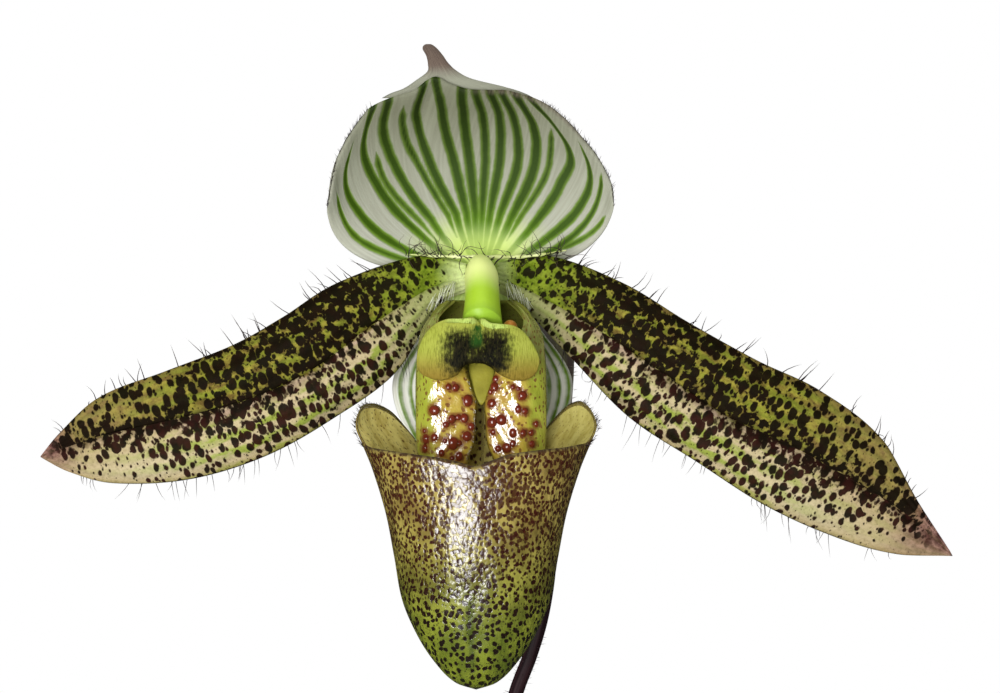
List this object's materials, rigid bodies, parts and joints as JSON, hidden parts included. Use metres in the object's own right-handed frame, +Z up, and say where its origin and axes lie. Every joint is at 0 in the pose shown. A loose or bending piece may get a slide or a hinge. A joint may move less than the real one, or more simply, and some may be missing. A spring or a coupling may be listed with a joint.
{
  "type": "potted slipper orchid",
  "caption": "Slipper orchid in bloom with a striped hooded sepal, spotted petals and a speckled pouch, on a dark stalk over strap leaves in a clay pot of bark.",
  "frame": {"origin": "centre of the pot's flat underside, on the surface it stands on", "axes": "+Z up, and the flower faces -Y with +X to its right as seen from the front"},
  "size_m": [0.2841, 0.1151, 0.3277],
  "materials": {
    "clay": "matte",
    "bark": "matte",
    "root": "matte",
    "leaf": "satin",
    "young_leaf": "satin",
    "stalk": "matte",
    "bract": "matte",
    "ovary": "matte",
    "white_sepal": "satin",
    "petal": "satin",
    "lip": "gloss",
    "column": "satin",
    "staminode": "matte",
    "stigma": "satin",
    "pollen": "satin"
  },
  "bodies": {
    "root": {"pot": "clay", "bark_mix": "bark", "rootstock": "root", "leaf_1": "leaf", "leaf_2": "leaf", "leaf_3": "leaf", "leaf_4": "leaf", "leaf_5": "leaf", "leaf_6": "leaf", "shoot_leaf_1": "young_leaf", "shoot_leaf_2": "young_leaf", "shoot_leaf_3": "young_leaf", "flower_stalk": "stalk", "bract": "bract", "ovary": "ovary", "dorsal_sepal": "white_sepal", "synsepal": "white_sepal", "petal_left": "petal", "petal_right": "petal", "lip": "lip", "column": "column", "staminode": "staminode", "stigma": "stigma", "anther_left": "pollen", "anther_right": "pollen"}
  },
  "joints": []
}
